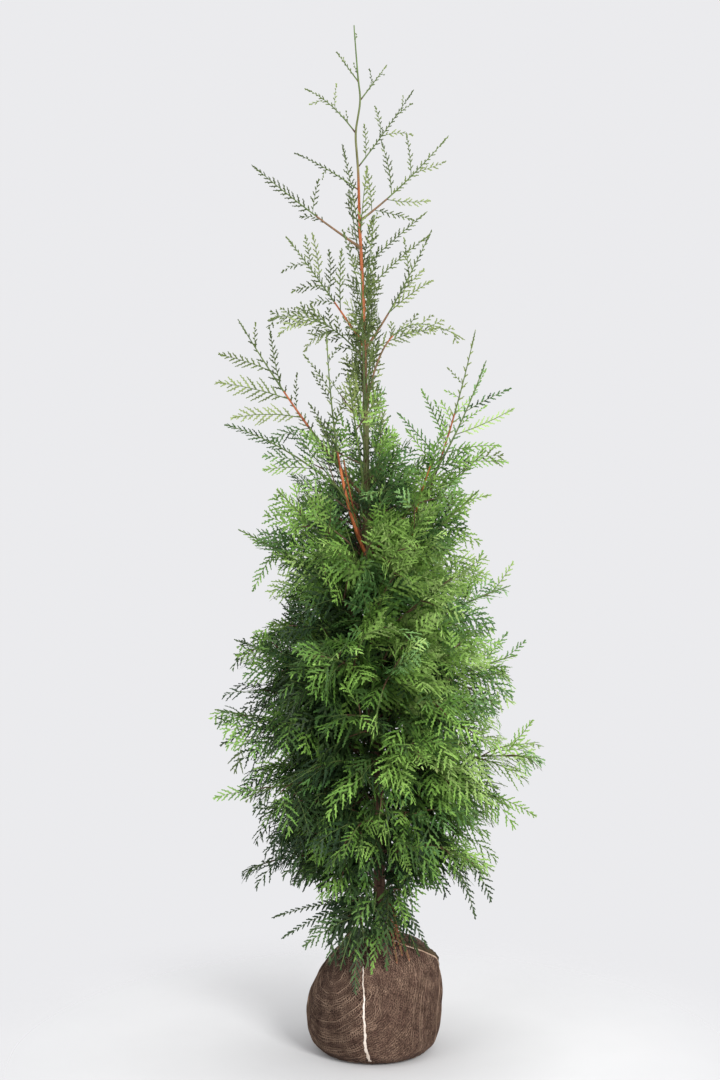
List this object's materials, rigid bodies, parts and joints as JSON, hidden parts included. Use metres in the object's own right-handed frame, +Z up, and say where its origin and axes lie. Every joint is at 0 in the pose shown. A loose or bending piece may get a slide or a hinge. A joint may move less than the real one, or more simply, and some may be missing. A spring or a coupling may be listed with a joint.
{
  "type": "thuja tree on a wrapped root ball",
  "caption": "Slender evergreen thuja with one leading stem and flat fern-like sprays, its roots in a squat ball wrapped in jute cloth.",
  "frame": {"origin": "middle of the flat underside of the root ball", "axes": "+Z up along the trunk, +X to the plant's right as it is usually shown, -Y to its front"},
  "size_m": [0.7598, 0.6565, 2.3311],
  "materials": {
    "jute": "coarse open weave, dusty with soil",
    "bark": "thin stringy bark, orange to green on young shoots",
    "foliage": "small overlapping scale leaves, slightly glossy"
  },
  "bodies": {
    "root": {"bough_arm_left": "bark", "bough_arm_right": "bark", "bough_fan_left": "bark", "bough_fan_right": "bark", "bough_leader_right": "bark", "bough_long_left": "bark", "bough_plume_right": "bark", "bough_spire_left": "bark", "bough_spire_right": "bark", "foliage_apron_front": "foliage", "foliage_arm_left": "foliage", "foliage_arm_right": "foliage", "foliage_crest_back": "foliage", "foliage_crest_front": "foliage", "foliage_fan_left": "foliage", "foliage_fan_right": "foliage", "foliage_hem_back": "foliage", "foliage_hem_front": "foliage", "foliage_hem_left": "foliage", "foliage_hem_right": "foliage", "foliage_high_left": "foliage", "foliage_high_right": "foliage", "foliage_leader_left": "foliage", "foliage_leader_right": "foliage", "foliage_long_arm_left": "foliage", "foliage_long_arm_right": "foliage", "foliage_long_left": "foliage", "foliage_low_back": "foliage", "foliage_low_front": "foliage", "foliage_low_left": "foliage", "foliage_low_right": "foliage", "foliage_mid_back": "foliage", "foliage_mid_front": "foliage", "foliage_mid_left": "foliage", "foliage_mid_right": "foliage", "foliage_neck_back": "foliage", "foliage_neck_front": "foliage", "foliage_plate_left": "foliage", "foliage_plate_right": "foliage", "foliage_plume_left": "foliage", "foliage_plume_right": "foliage", "foliage_skirt_back": "foliage", "foliage_skirt_front": "foliage", "foliage_skirt_left": "foliage", "foliage_skirt_right": "foliage", "foliage_spire_left": "foliage", "foliage_spire_right": "foliage", "foliage_tip_left": "foliage", "foliage_tip_right": "foliage", "foliage_upper_back": "foliage", "foliage_upper_front": "foliage", "foliage_waist_back": "foliage", "foliage_waist_front": "foliage", "foliage_waist_left": "foliage", "foliage_waist_right": "foliage", "foliage_wing_left": "foliage", "foliage_wing_right": "foliage", "root_ball": "jute", "trunk": "bark"}
  },
  "joints": []
}
